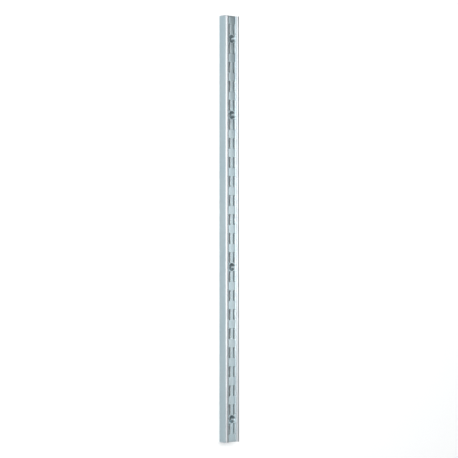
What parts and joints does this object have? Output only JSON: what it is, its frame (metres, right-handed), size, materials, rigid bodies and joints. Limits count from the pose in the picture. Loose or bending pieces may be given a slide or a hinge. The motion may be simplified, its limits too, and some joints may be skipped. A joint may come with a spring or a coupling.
{
  "type": "shelf standard",
  "caption": "Long rolled steel channel with rounded front beads, a sunk groove with two rows of slots for shelf brackets, and dimpled countersunk holes for wall screws.",
  "frame": {"origin": "middle of the standard's length and width, in the plane of its back edges, which rest on the floor or against a wall", "axes": "+X along the standard towards its top end, where the two closest screw holes are; +Y across it; +Z out of its front, away from the wall"},
  "size_m": [0.7112, 0.03, 0.0175],
  "materials": {
    "zinc_plated_strip": "bright bluish zinc plate, lightly brushed along the rolling direction"
  },
  "bodies": {
    "root": {"slotted_channel": "zinc_plated_strip"}
  },
  "joints": []
}
